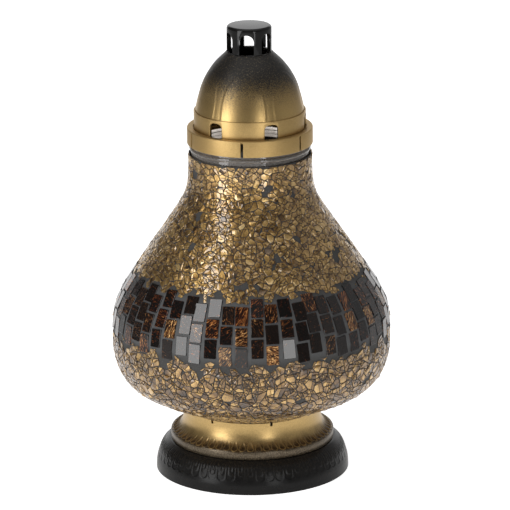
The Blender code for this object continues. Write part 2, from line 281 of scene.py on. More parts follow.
class Paint(NodeMaker):
    # a node material under construction
    def __init__(self, name, **values):
        self.material = bpy.data.materials.new(name)
        self.material.use_nodes = True
        super().__init__(self.material.node_tree)
        self.coords = self.node("TexCoord").outputs["Object"]
        self.link(**values)

    def link(self, **values):
        for key, value in values.items():
            self.put(value, self.tree.nodes["Principled BSDF"].inputs[key.replace("_", " ")])
        return self.material

    def finish(self, colour, roughness, relief, **more):
        return self.link(Base_Color=colour, Roughness=roughness, Normal=relief, **more)

    def noise(self, scale, detail=3.0, roughness=0.5, vector=None):
        return self.node("TexNoise", {"Vector": vector or self.coords, "Scale": scale, "Detail": detail,
            "Roughness": roughness}).outputs["Fac"]

    def centred(self, value, reach):
        # noise moved to swing round zero
        return self.times(self.math("SUBTRACT", value, 0.5), reach)

    def spread(self, value, low, high):
        # noise stretched to run between two numbers
        return self.range(value, 0.3, 0.7, low, high)

    def stretched(self, *scale):
        return self.node("Mapping", {"Vector": self.coords, "Scale": scale}).outputs["Vector"]

    def height(self):
        return self.node("SeparateXYZ", {"Vector": self.coords}).outputs["Z"]

    def attribute(self, name):
        return self.node("Attribute", attribute_name=name).outputs["Fac"]

    def ramp(self, value, *stops):
        made = self.node("ValToRGB", {"Fac": value})
        elements = made.color_ramp.elements
        while len(elements) < len(stops):
            elements.new(0.5)
        for element, (where, colour) in zip(elements, stops):
            element.position, element.color = where, (*colour, 1)
        return made.outputs["Color"]

    def mix(self, share, *colours):
        a, b = ((*colour, 1) if isinstance(colour, tuple) else colour for colour in colours)
        return self.node("Mix", {0: share, 6: a, 7: b}, data_type="RGBA").outputs[2]

    def bump(self, height, strength, distance):
        return self.node("Bump", {"Height": height, "Strength": strength, "Distance": distance}).outputs["Normal"]


spray = {
    "dull": (0.44, 0.295, 0.115), "bright": (0.60, 0.415, 0.175), "shade": (0.30, 0.19, 0.07),
    "fleck": 2100, "grain": 1500, "clump": 240, "deep": 0.0004,
}


def sprayTones(paint):
    # the fleck of a gold spray, and the two golds it mixes
    fleck = paint.noise(spray["fleck"], 2)
    return fleck, paint.mix(paint.range(fleck, 0.36, 0.64), spray["dull"], spray["bright"])


def sprayGrain(paint, strength):
    grain = paint.plus(paint.noise(spray["grain"], 2), paint.times(paint.noise(spray["clump"], 2), 0.6))
    return paint.bump(grain, strength, spray["deep"])


def sprayedGold(name, roughness):
    # old gold spray with a fine metal grain
    paint = Paint(name, Metallic=0.9)
    fleck, gold = sprayTones(paint)
    colour = paint.mix(paint.range(paint.noise(38, 4), 0.35, 0.75, 0, 0.3), gold, spray["shade"])
    return paint.finish(colour, paint.spread(fleck, roughness * 0.88, roughness * 1.12), sprayGrain(paint, 0.14))


def fadingPedestal():
    # satin gold waist that fades into a dark brown fluted foot with a speckled bronze rim, and a painted highlight
    # along each leaf's outline
    fade = {"gold": (0.0298, 0.0362), "bronze": (0.0291, 0.0284), "shine": (0.030, 0.040)}  # heights in metres
    paint = Paint("pedestalPaint")
    fleck, gold = sprayTones(paint)
    height = paint.plus(paint.height(), paint.centred(paint.noise(140, 3), 0.006))
    brown = paint.mix(paint.range(fleck, 0.45, 0.6), (0.045, 0.027, 0.012), (0.13, 0.085, 0.040))
    bronze = paint.mix(paint.range(fleck, 0.42, 0.6), (0.035, 0.026, 0.016), (0.20, 0.155, 0.100))
    colour = paint.mix(paint.range(height, *fade["gold"]), brown, gold)
    # painted highlight: dull gold along the top of each leaf's outline, where the light catches it
    colour = paint.mix(paint.times(paint.attribute("paintedLeafGlint"), 0.75), colour, spray["dull"])
    colour = paint.mix(paint.range(height, *fade["bronze"]), colour, bronze)
    return paint.finish(colour, paint.spread(fleck, 0.29, 0.37), sprayGrain(paint, 0.12),
        Metallic=paint.range(height, *fade["shine"], 0.6, 0.9))


def fadingDome():
    # black at the crown, specked brown below it and old gold at the base
    fade = {"colour": (0.2740, 0.2935), "shine": (0.276, 0.294)}  # heights in metres
    paint = Paint("domeTwoTone")
    fleck, gold = sprayTones(paint)
    mist = paint.plus(paint.height(), paint.centred(fleck, 0.045))
    height = paint.plus(mist, paint.centred(paint.noise(55, 3), 0.007))
    specks = paint.mix(paint.range(paint.noise(1250, 2), 0.56, 0.70), (0.017, 0.015, 0.013), (0.11, 0.088, 0.058))
    colour = paint.mix(paint.range(height, *fade["colour"]), gold, specks)
    dark = paint.range(height, *fade["shine"])
    return paint.finish(colour, paint.range(dark, 0, 1, 0.33, 0.44), sprayGrain(paint, 0.14),
        Metallic=paint.range(dark, 0, 1, 0.9, 0.35))


def mouldedBlack(name, roughness, specular, goldMist=0.0):
    # black moulding with faint flow marks, and a mist of gold where the spray drifted
    paint = Paint(name, Specular_IOR_Level=specular)
    colour = paint.mix(paint.noise(30, 3), (0.0065, 0.0062, 0.006), (0.013, 0.0125, 0.012))
    if goldMist:
        fleck = paint.range(paint.noise(spray["fleck"], 2), 0.56, 0.72)
        drift = paint.times(fleck, paint.range(paint.height(), 0.010, 0.026, 0.0, goldMist))
        colour = paint.mix(drift, colour, (0.11, 0.08, 0.045))
    marks = paint.plus(paint.noise(900, 2), paint.times(paint.noise(90, 2), 0.8))
    return paint.finish(colour, paint.spread(paint.noise(60, 4), roughness * 0.8, roughness * 1.3),
        paint.bump(marks, 0.08, 0.0003))


def clearGlass():
    # pressed glass with a faint smoky tint, slow waves and a little haze below the bead
    paint = Paint("clearGlass", IOR=1.5, Roughness=0.04)
    streaks = paint.noise(90, 3, vector=paint.stretched(1, 1, 0.25))
    haze = paint.times(streaks, paint.range(paint.height(), 0.2425, 0.2455, 1, 0))
    tint = paint.mix(haze, (0.86, 0.80, 0.73), (0.26, 0.21, 0.17))
    return paint.link(Base_Color=tint, Transmission_Weight=paint.range(haze, 0.1, 0.7, 0.99, 0.74),
        Normal=paint.bump(paint.noise(60, 2), 0.15, 0.0006))


def cementGrout():
    # dark grey grout with sand in it, paler between the tiles; between the chips it is darker still, a painted
    # shade for the narrow cracks
    amongTiles = ((0.107, 0.113), (0.152, 0.146))  # heights in metres
    paint = Paint("darkGroutPaintedShade", Specular_IOR_Level=0.35)
    sand, patch = paint.noise(1400, 3, 0.6), paint.noise(45, 4)
    unshadedAmongTiles = paint.math("MINIMUM", *(paint.range(paint.height(), *ends) for ends in amongTiles))
    # painted shade: the darker greys lie between the chips, the paler greys among the tiles
    colour = paint.mix(unshadedAmongTiles, paint.mix(patch, (0.038, 0.036, 0.034), (0.062, 0.060, 0.057)),
        paint.mix(patch, (0.070, 0.071, 0.072), (0.105, 0.106, 0.107)))
    colour = paint.mix(paint.range(sand, 0.60, 0.78), colour, (0.16, 0.16, 0.155))
    rough = paint.plus(sand, paint.times(paint.noise(300, 3), 1.2))
    return paint.finish(colour, paint.spread(patch, 0.5, 0.75), paint.bump(rough, 0.4, 0.0004))


def goldChipGlass():
    # crushed clear glass over gold leaf: each chip has its own tone, and a painted light side and a painted shaded
    # side
    paint = Paint("goldChips", Coat_Weight=1.0, Coat_Roughness=0.03, Coat_IOR=1.75)
    tone, side = paint.attribute("tone"), paint.attribute("side")
    leaf = paint.noise(1300, 3, 0.6)
    # the chip's painted light side and painted shaded side are added to its tone here
    shade = paint.plus(paint.plus(tone, paint.centred(leaf, 0.45)), side)
    colour = paint.ramp(shade, (0.0, (0.045, 0.021, 0.006)), (0.25, (0.20, 0.105, 0.030)),
        (0.5, (0.50, 0.300, 0.095)), (0.75, (0.76, 0.49, 0.175)), (1.0, (0.92, 0.67, 0.31)))
    net = paint.node("TexVoronoi", {"Vector": paint.coords, "Scale": 700.0}, feature="DISTANCE_TO_EDGE")
    crack = paint.math("MAXIMUM", paint.range(net.outputs["Distance"], 0.0, 0.07, 0.3, 1.0),
        paint.range(paint.noise(70, 3), 0.45, 0.53))
    crinkle = paint.plus(leaf, paint.times(paint.noise(420, 2), 1.5))
    return paint.finish(paint.mix(crack, (0.0, 0.0, 0.0), colour), paint.spread(leaf, 0.26, 0.44),
        paint.bump(crinkle, 0.28, 0.0006), Metallic=paint.range(tone, 0.0, 0.3, 0.6, 0.9),
        Coat_Normal=paint.bump(paint.noise(260, 2), 0.10, 0.0005))


def foilTileGlass():
    # near-black glass with copper and gold foil streaked inside it; the streaks run along each tile's own map
    paint = Paint("foilTiles", Coat_Weight=1.0, Coat_Roughness=0.015, Coat_IOR=1.56, Specular_IOR_Level=0.05)
    streakMap = paint.node("UVMap", uv_map="streak").outputs["UV"]
    copper, kind = paint.attribute("copper"), paint.attribute("kind")
    warp = paint.node("TexNoise", {"Vector": streakMap, "Scale": 1.6, "Detail": 2.0}).outputs["Color"]
    bent = paint.node("VectorMath", {0: streakMap, 1: warp}, operation="ADD").outputs["Vector"]
    veins, patches = paint.noise(16.0, 3, 0.62, vector=bent), paint.noise(1.9, 2, vector=bent)
    level = paint.plus(paint.plus(paint.times(patches, 0.55), paint.times(copper, 0.5)), paint.times(veins, 2.1))
    foil = paint.range(level, 1.60, 1.98)
    foilColour = paint.ramp(paint.times(paint.plus(foil, kind), 0.55), (0.0, (0.07, 0.012, 0.004)),
        (0.3, (0.26, 0.055, 0.014)), (0.6, (0.52, 0.19, 0.05)), (1.0, (0.80, 0.52, 0.22)))
    base = paint.mix(kind, (0.002, 0.0015, 0.0013), (0.010, 0.0045, 0.0025))
    return paint.finish(paint.mix(foil, base, foilColour), paint.range(foil, 0, 1, 0.35, 0.3),
        paint.bump(paint.plus(veins, patches), 0.6, 0.0008),
        Metallic=paint.range(foil, 0.0, 0.5, 0.0, 0.8))


def pressedTin():
    paint = Paint("pressedTin", Metallic=1.0)
    lines = paint.noise(3, 4, vector=paint.stretched(12, 160, 12))
    colour = paint.mix(paint.noise(50, 3), (0.88, 0.88, 0.87), (0.95, 0.95, 0.945))
    return paint.finish(colour, paint.spread(lines, 0.07, 0.13), paint.bump(lines, 0.03, 0.0002))


def milkyFinish(name, weight, depth, tone, colours, rough, roughness, relief, strength, deep):
    # a pale stuff that light soaks into; tone, rough and relief are the scale and the detail of their noise
    paint = Paint(name, Subsurface_Weight=weight, Subsurface_Scale=depth)
    return paint.finish(paint.mix(paint.noise(*tone), *colours), paint.spread(paint.noise(*rough), *roughness),
        paint.bump(paint.noise(*relief), strength, deep))


def plaitedCotton():
    paint = Paint("plaitedCotton", Sheen_Weight=0.4)
    fibre = paint.noise(5200, 3, vector=paint.stretched(1, 1, 0.35))
    colour = paint.mix(fibre, (0.70, 0.66, 0.56), (0.90, 0.87, 0.79))
    return paint.finish(colour, paint.spread(fibre, 0.8, 0.95), paint.bump(fibre, 0.6, 0.0002))


collarGold = sprayedGold("collarGold", 0.48)
bandGold = sprayedGold("bandGold", 0.38)
pedestalPaint = fadingPedestal()
domePaint = fadingDome()
hoodBlack = mouldedBlack("hoodBlack", 0.10, 0.24)
footBlack = mouldedBlack("footBlack", 0.26, 0.16, goldMist=0.8)
glassFinish = clearGlass()
groutFinish = cementGrout()
chipFinish = goldChipGlass()
tileFinish = foilTileGlass()
tinFinish = pressedTin()
cupFinish = milkyFinish("cupPlastic", 0.35, 0.004, (35, 3), ((0.82, 0.80, 0.74), (0.90, 0.885, 0.84)), (80, 3),
    (0.3, 0.45), (420, 2), 0.08, 0.0003)
waxFinish = milkyFinish("candleWax", 0.5, 0.006, (40, 4), ((0.86, 0.82, 0.70), (0.93, 0.905, 0.82)), (60, 3),
    (0.35, 0.55), (110, 4), 0.25, 0.0006)
cottonFinish = plaitedCotton()
print("materials made")


# ---- camera, floor and light ----

studio = {
    "target": Vector((0, 0, 159)) * mm,
    "distance": 3.249,
    "azimuth": 7.4,
    "elevation": 16.5,
    "lens": 317.6,
    "aside": 2.95 * mm,  # the lantern stands a little left of the middle
    "lean": 0.45,
}


def makeCamera():
    a, e = radians(studio["azimuth"]), radians(studio["elevation"])
    back = Vector((sin(a) * cos(e), -cos(a) * cos(e), sin(e)))
    right = Vector((cos(a), sin(a), 0))
    camera = addObject("camera", bpy.data.cameras.new("camera"))
    camera.data.lens, camera.data.sensor_width = studio["lens"], 36
    camera.rotation_mode = "QUATERNION"
    camera.location = studio["target"] + right * studio["aside"] + back * studio["distance"]
    turn = Matrix.Rotation(radians(-studio["lean"]), 4, back)
    camera.rotation_quaternion = turn.to_quaternion() @ (-back).to_track_quat("-Z", "Y")
    bpy.context.scene.camera = camera


def makeFloor():
    # a white table top, washed out to the camera as in a bright studio
    side, near, far = 0.45, -1.1, 2.6
    bm = bmesh.new()
    bm.faces.new([bm.verts.new((x, y, 0)) for x, y in ((-side, near), (side, near), (side, far), (-side, far))])
    floor = addMesh("floor", bm)
    paint = Paint("paleFloor", Roughness=0.7, Emission_Color=(1, 1, 1, 1))
    seen = paint.node("LightPath").outputs["Is Camera Ray"]
    floor.data.materials.append(paint.link(Base_Color=paint.mix(seen, (0.80, 0.80, 0.80), (0.95, 0.95, 0.95)),
        Emission_Strength=paint.range(seen, 0, 1, 0.62, 0.85)))


def softLight(name, azimuth, distance, low, high, width, radiance):
    # an upright softbox between two heights in metres; the azimuth is counted from the camera's side
    a = radians(azimuth + studio["azimuth"])
    out = Vector((sin(a), -cos(a), 0))
    data = bpy.data.lights.new(name, "AREA")
    data.shape, data.size, data.size_y = "RECTANGLE", width, high - low
    data.energy = radiance * pi * width * (high - low)
    light = addObject(name, data)
    light.location = out * distance + Vector((0, 0, (low + high) / 2))
    light.rotation_mode = "QUATERNION"
    light.rotation_quaternion = out.to_track_quat("Z", "Y")


def makeWorld():
    # a studio: white behind the lantern, grey below and overhead, dark between on the camera's side
    world = bpy.data.worlds.new("studio")
    bpy.context.scene.world = world
    world.use_nodes = True
    maker = NodeMaker(world.node_tree)
    coords = maker.node("TexCoord").outputs["Generated"]
    upward = maker.node("SeparateXYZ", {0: coords}).outputs["Z"]

    def towards(azimuth, lift=0.0):
        # grows towards an azimuth that is counted from the camera's side
        a = radians(studio["azimuth"] + azimuth)
        return maker.node("VectorMath", {0: coords, 1: (sin(a), -cos(a), lift)},
            operation="DOT_PRODUCT").outputs["Value"]

    # what grows towards each patch of light, where the patch starts and is full, and its two strengths
    patches = {
        "back": (towards(180), 0.76, 0.92, 0.06, 1.1),
        "right": (towards(105, 0.3), 0.45, 0.95, 0.0, 0.34),
        "below": (upward, -0.02, -0.16, 0.0, 0.5),
        "above": (upward, 0.72, 0.90, 0.0, 0.9),
    }
    strength = maker.node("LightPath").outputs["Is Camera Ray"]
    for patch in patches.values():
        strength = maker.math("MAXIMUM", strength, maker.range(*patch, interpolation_type="SMOOTHSTEP"))
    glow = world.node_tree.nodes["Background"]
    maker.put(strength, glow.inputs["Strength"])
    maker.put((1, 1, 1, 1), glow.inputs["Color"])
    bpy.context.scene.view_settings.view_transform = "Standard"


makeCamera()
makeFloor()
makeWorld()
softLight("keyStrip", -51, 1.6, -0.33, 1.9, 0.6, 4.7)
softLight("lowFill", 25, 1.0, -0.07, 0.52, 0.18, 4.6)
print("camera, floor and light set")


# ---- the base ----

footShape = {
    "side": [(70.1, 0.0), (69.3, 8.9), (65.8, 18.1), (60.4, 22.4)],
    "wall": 2.2, "ring": (54.5, 56.7, 26.3),
    "petals": 60, "steps": 16,
    "outer": (9.6, 3.15), "middle": (13.2, 1.75), "inner": (16.2, 0.85),  # tip height and half width
    "step": 0.2, "edge": 0.42, "top": 22.0,
}


def insidePetal(across, height, tip, half, edge):
    # 0 outside a U-shaped outline whose round end points down, 1 inside it
    if height > tip + half:
        gap = half - across
    else:
        gap = half - hypot(across, height - tip - half)
    return smoothStep(-edge, edge, gap)


def makeFoot():
    s = footShape
    side = smoothLine(s["side"], 90)
    inner, outer, top = s["ring"]
    under = s["side"][-1][1] - s["wall"]
    inside = [p for p in insetLine(side, s["wall"])[2::8] if p[1] < under - 1]
    line = [(inner, top), (outer, top), (outer, s["side"][-1][1]), *reversed(side),
        (s["side"][0][0] - s["wall"], 0.0), *inside, (58.5, under), (inner, under)]
    wall, pitch = wallFinder(side), tau / s["petals"]

    def relief(angle, radius, height):
        # each petal steps in three times towards its middle, under a raised outline
        if height > s["top"] or height < 3 or radius < wall(height) - 0.3:
            return 0.0, 0.0
        across = offMiddle(angle, pitch, radius)
        sunk = sum(insidePetal(across, height, *s[key], s["edge"]) * deep
            for key, deep in (("outer", 1.0), ("middle", -1.0), ("inner", 1.4)))
        fade = smoothStep(s["top"], s["top"] - 2.5, height)
        return -s["step"] * sunk * fade - s["step"] * 0.5 * fade * smoothStep(6.0, 9.0, height), 0.0

    place("footSkirt", turnMesh(line, s["petals"] * s["steps"], repeat=s["petals"], relief=relief), footBlack,
        "base", "foot", sharp=50)


pedestalShape = {
    "flare": [(49.8, 47.0), (49.7, 42.0), (50.8, 36.0), (53.6, 31.8), (58.4, 28.9)],
    "rim": 59.2, "rimBottom": 22.7, "flutes": 60, "steps": 16,
    "leafLong": 9.5, "leafRound": 2.3, "leafStart": 0.45, "ridgeWide": 0.75, "ridgeHigh": 0.42, "inside": 0.12,
    "notches": 7, "notchWidth": 1.8, "notchTurn": 23.5,
}


def makePedestal():
    s = pedestalShape
    flare = smoothLine(s["flare"], 66)
    line = [*flare, (s["rim"] - 0.25, 28.75), (s["rim"], 28.3), (s["rim"], 23.1), (s["rim"] - 0.4, s["rimBottom"]),
        (57.0, s["rimBottom"]), (57.0, 26.8), (51.0, 32.0), (48.6, 35.7), (18.0, 35.7), (18.0, 37.7),
        (48.0, 37.7), (48.0, 47.0)]
    wall, pitch = wallFinder(flare), tau / s["flutes"]
    runs = lengthAlong(flare[::-1])
    radii, heights = np.array(flare[::-1]).T
    leanR, leanZ = np.gradient(radii, runs), np.gradient(heights, runs)

    length, half = s["leafLong"], s["leafRound"]

    def insideLeaf(run, across):
        if run < half:
            return half - hypot(across, half - run)
        if run > length:
            return -9.0
        return half * (1 - (run - half) / (length - half)) ** 0.75 - across

    def flute(angle, radius, height):
        # a hollow leaf with a raised outline: round where it meets the rim, running out to a point on the waist
        if height < 28.85 or height > 41 or radius < wall(height) - 0.3:
            return 0.0, 0.0
        run = float(np.interp(height, heights, runs))
        nr, nz = float(np.interp(run, runs, leanZ)), -float(np.interp(run, runs, leanR))
        run -= s["leafStart"]
        inward = insideLeaf(run, offMiddle(angle, pitch, radius))
        ridge = smoothStep(s["ridgeWide"], 0.0, abs(inward)) * smoothStep(length, 1.0, run)
        hollow = s["inside"] * smoothStep(0.0, 1.2, inward)
        fade = smoothStep(length + 1.0, length - 3.0, run)
        deep = s["ridgeHigh"] * (smoothStep(length, 1.0, run) - ridge) + hollow * fade
        return -deep * nr, -deep * nz

    bm = turnMesh(line, s["flutes"] * s["steps"], repeat=s["flutes"], relief=flute)
    paintedLeafGlint = bm.verts.layers.float.new("paintedLeafGlint")  # painted highlight: dull gold along the top of each leaf's outline, strongest at its round end
    rim = runs < 14
    for v in bm.verts:
        radius, height = hypot(v.co.x, v.co.y) / mm, v.co.z / mm
        if not 28.0 < height < 38 or radius < wall(height) - 0.8:
            continue
        run = float(np.interp(-radius, -radii[rim], runs[rim])) - s["leafStart"]
        angle = atan2(v.co.y, v.co.x) - front
        inward = insideLeaf(run, offMiddle(angle, pitch, radius))
        v[paintedLeafGlint] = smoothStep(0.65, 0.1, abs(inward)) * smoothStep(length, 0.0, run)
    side = s["notchWidth"] / 2
    notch = [(-side, 44.6), (side, 44.6), (side, 48), (-side, 48)]
    bm = cutAway(bm, windowCutters(notch, 46.5, 52.0, s["notchTurn"], s["notches"]))
    place("pedestalFlare", bm, pedestalPaint, "base", "pedestal", sharp=50)


makeFoot()
makePedestal()
print("base made")


# ---- the vessel ----

body = {
    "face": [(50.9, 47.4), (63.0, 53.4), (85.7, 64.1), (97.5, 79.3), (101.3, 103.5), (96.4, 129.4), (76.7, 161.3),
    (56.3, 191.4), (47.1, 207.8), (44.8, 222.0), (44.8, 236.8)],
    "limit": boxMm("tile_row_lower")[0] - 0.15,  # nothing on the belly stands past the solids
    "chip": 0.8, "gap": 0.3, "grout": 0.7, "glassDepth": 2.1, "glassWall": 3.0,
    "bedSteps": 288, "glassSteps": 168, "tilesFrom": (106, 113), "tilesTo": (154, 147),
}
face = [(min(r, body["limit"] - 0.35), z) for r, z in smoothLine(body["face"], 200)]
faceR, faceZ = np.array(face).T
faceRun = lengthAlong(face)
# a map of the turned face that keeps shapes: equal steps across it look the same size both ways
faceMap = np.concatenate([[0], np.cumsum(np.diff(faceRun) / ((faceR[1:] + faceR[:-1]) / 2))])
slopeR, slopeZ = np.gradient(faceR, faceRun), np.gradient(faceZ, faceRun)


def mapAt(value, known):
    # the place on the map where a height or a run along the face has this value
    return float(np.interp(value, known, faceMap))


def fromMap(up, wanted):
    return float(np.interp(up, faceMap, wanted))


def onFace(angle, up, lift=0.0):
    # the point in metres at an angle from the front and a place on the map, raised by lift in mm
    r, z, dr, dz = (fromMap(up, wanted) for wanted in (faceR, faceZ, slopeR, slopeZ))
    size = hypot(dr, dz)
    r, z = r + dz / size * lift, z - dr / size * lift
    return Vector((r * cos(angle + front), r * sin(angle + front), z)) * mm


def makeGlass():
    s = body
    outside = insetLine(face, s["glassDepth"])[::4]
    inside = insetLine(face, s["glassDepth"] + s["glassWall"])[::5]
    neck, mouth = outside[-1][0] + 0.1, inside[-1][0]
    bead = [(neck + 0.95 * sin(radians(a)), 240.6 - 1.5 * cos(radians(a)))
        for a in range(180, -1, -20)]
    rim = boxMm("glass_vessel")[2]
    line = [(0.0, 41.5), (43.0, 41.5), (45.8, 45.0), *inside, (mouth, rim - 1.4), (mouth + 0.5, rim - 0.4),
        (mouth + 1.4, rim), (neck - 1.3, rim), (neck - 0.4, rim - 0.4), (neck, rim - 1.3), *bead,
        *reversed(outside[1:]), (47.6, 48.6), (47.6, 38.8), (46.8, 38.0), (0.0, 38.0)]
    bm = turnMesh(line, s["glassSteps"], closed=False)
    place("glassVessel", bm, glassFinish, "base", "glass_vessel", sharp=60)


def makeGroutBed():
    s = body
    outside = insetLine(face, s["chip"] * 0.42)[::2]
    inside = insetLine(face, s["chip"] + s["gap"] + s["grout"])[::4]
    outside[-1] = (face[-1][0] - 0.5, face[-1][1] - 0.3)
    bm = turnMesh([*reversed(outside), *inside], s["bedSteps"])
    wall = wallFinder(outside)

    def uneven(angle, radius, height):
        if radius < wall(height) - 0.25:
            return 0.0, 0.0
        where = Vector((cos(angle) * radius, sin(angle) * radius, height))
        amongTiles = smoothStep(*s["tilesFrom"], height) * smoothStep(*s["tilesTo"], height)
        waves = 0.12 * noise.noise(where * 0.16) + 0.07 * noise.noise(where * 0.55)
        return waves * (1 - 0.6 * amongTiles) - 0.29, 0.0

    shapeRound(bm, uneven)
    place("groutBed", bm, groutFinish, "base", "grout_bed", sharp=60)


makeGlass()
makeGroutBed()
print("vessel and grout made")


# ---- the tiles ----

tileShape = {
    "columns": 56, "wide": 8.8, "tall": 13.5, "thick": 1.3, "joint": 1.4,
    "middle": 130.6, "stagger": 3.6, "edge": 0.2, "proud": 0.14,
}


def layTiles():
    # three tiles to a column; each column slides up or down and leans a little
    s = tileShape
    laid = []
    middle = mapAt(s["middle"], faceZ)
    stepUp = s["tall"] + s["joint"]
    slide = 0.0
    for column in range(s["columns"]):
        angle = tau * (column + 0.5 + dice.uniform(-0.07, 0.07)) / s["columns"]
        slide = -copysign(dice.uniform(0.45, 1.0), slide) if dice.random() < 0.78 else dice.uniform(-1, 1)
        lean = 2.6 + 4.2 * noise.noise(Vector((cos(angle), sin(angle), 7)) * 1.4) + dice.gauss(0, 1.0)
        runMiddle = fromMap(middle, faceRun) + slide * s["stagger"]
        for row in (-1, 0, 1):
            run = runMiddle + row * stepUp + dice.uniform(-0.25, 0.25)
            up = mapAt(run, faceRun)
            radius = float(np.interp(run, faceRun, faceR))
            pitch = tau * radius / s["columns"]
            wide = min(s["wide"] * dice.uniform(0.97, 1.03), pitch - 0.55)
            laid.append({
                "row": row, "angle": angle + radians(lean) * row * stepUp / radius, "up": up,
                "run": run, "radius": radius, "wide": wide, "tall": s["tall"] * dice.uniform(0.97, 1.02),
                "turn": radians(lean + dice.gauss(0, 0.8)),
                "tipAcross": radians(dice.uniform(-1.3, 1.3)), "tipUp": radians(dice.uniform(-1, 1)),
                "copper": dice.betavariate(0.9, 2.1), "kind": dice.betavariate(1.2, 1.6),
                "streakTurn": dice.uniform(0, pi), "streakSeed": dice.uniform(0, 90),
            })
    return laid


tiles = layTiles()


def touching(faces):
    # these faces and all that share a corner with them
    return {near for f in faces for v in f.verts for near in v.link_faces}


def makeTileRow(name, row, node):
    s = tileShape
    bm = bmesh.new()
    copper, kind = bm.faces.layers.float.new("copper"), bm.faces.layers.float.new("kind")
    streak = bm.loops.layers.uv.new("streak")
    for tile in (t for t in tiles if t["row"] == row):
        made = bmesh.ops.create_cube(bm, size=1.0)["verts"]
        bmesh.ops.scale(bm, vec=(tile["wide"] * mm, s["thick"] * mm, tile["tall"] * mm), verts=made)
        for v in made:  # no two corners are cut the same; the face and the back of a corner shift across together
            corner = (round(v.co.x * 1e5), round(v.co.z * 1e5), tile["streakSeed"])
            shift = random.Random(str(corner)).uniform(-0.22, 0.22) * mm
            v.co.x += shift
            v.co.z += shift * dice.choice((-0.5, 0.5))
        edges = {e for v in made for e in v.link_edges}
        upright = [e for e in edges if abs((e.verts[0].co - e.verts[1].co).normalized().y) > 0.9]
        top = [f for f in touching(roundEdges(bm, upright, 0.55)) if f.normal.y < -0.9]
        rim = list({e for f in top for e in f.edges})
        faces = touching(touching(roundEdges(bm, rim, s["edge"])))
        made = list({v for f in faces for v in f.verts})
        c, d, seed = cos(tile["streakTurn"]), sin(tile["streakTurn"]), tile["streakSeed"]
        for f in faces:
            f[copper], f[kind] = tile["copper"], tile["kind"]
            for loop in f.loops:
                x, z = loop.vert.co.x / mm / 10, loop.vert.co.z / mm / 10
                loop[streak].uv = (x * c + z * d + seed, (z * c - x * d) * 0.2 + seed * 0.37)
        angle, up = tile["angle"], tile["up"]
        centre = onFace(angle, up)
        along = (onFace(angle, up + 0.01) - onFace(angle, up - 0.01)).normalized()
        outward = (onFace(angle, up, 1) - centre).normalized()
        across = along.cross(-outward).normalized()
        turned = Matrix((across, -outward, along)).transposed().to_4x4()
        # a flat tile sits half way into the curve of the belly, both across and up
        low, high = (onFace(angle, mapAt(tile["run"] + side * tile["tall"] / 2, faceRun))
            for side in (-1, 1))
        sag = (centre - (low + high) / 2).dot(outward)
        bow = (1 - cos(tile["wide"] / 2 / tile["radius"])) * tile["radius"] * mm
        seat = (s["proud"] - s["thick"] / 2) * mm - (bow + sag) * 0.5
        spot = Matrix.Translation(centre + outward * seat)
        tip = (Matrix.Rotation(tile["turn"], 4, outward) @ Matrix.Rotation(tile["tipAcross"], 4, along)
            @ Matrix.Rotation(tile["tipUp"], 4, across))
        bmesh.ops.transform(bm, matrix=spot @ tip @ turned, verts=made)
        past = max(hypot(v.co.x, v.co.y) for v in made) - body["limit"] * mm
        if past > 0:  # nothing on the belly may stand past the widest solid
            bmesh.ops.translate(bm, vec=-outward * past / hypot(outward.x, outward.y), verts=made)
    bmesh.ops.recalc_face_normals(bm, faces=bm.faces[:])
    place(name, bm, tileFinish, "base", node, sharp=12)


makeTileRow("tilesLower", -1, "tile_row_lower")
makeTileRow("tilesMiddle", 0, "tile_row_middle")
makeTileRow("tilesUpper", 1, "tile_row_upper")
print("tiles laid:", len(tiles))


# ---- the crushed gold chips ----

chipShape = {
    "lower": {"low": 47.9, "high": 120.0, "cell": 3.6, "wideGap": 0.32, "crackGap": 0.17, "splits": (1, 3),
    "bare": 0.62, "tone": 0.31},
    "upper": {"low": 138.0, "high": 236.3, "cell": 2.7, "wideGap": 0.24, "crackGap": 0.13, "splits": (0, 3),
    "bare": 0.56, "tone": 0.48},
    "thick": 0.95, "chamfer": 0.11, "tilt": 2.4, "leastWidth": 0.2, "tileMargin": 0.35,
}
tileSlots = 28  # the tiles are sorted by angle into this many slots
tileLookup = {}
for tile in tiles:
    tileLookup.setdefault(int(tile["angle"] / tau * tileSlots) % tileSlots, []).append(tile)


def underTile(angle, up, margin):
    # whether a point of the map lies on a tile or its joint
    run = fromMap(up, faceRun)
    slotHere = int(angle / tau * tileSlots)
    for key in (slotHere - 1, slotHere, slotHere + 1):
        for tile in tileLookup.get(key % tileSlots, ()):
            turnBack = (angle - tile["angle"] + pi) % tau - pi
            across, along = turnBack * tile["radius"], run - tile["run"]
            c, d = cos(tile["turn"]), sin(tile["turn"])
            across, along = across * c - along * d, across * d + along * c
            if abs(across) < tile["wide"] / 2 + margin and abs(along) < tile["tall"] / 2 + margin:
                return True
    return False


def beside(vert):
    return [e.other_vert(vert) for e in vert.link_edges]


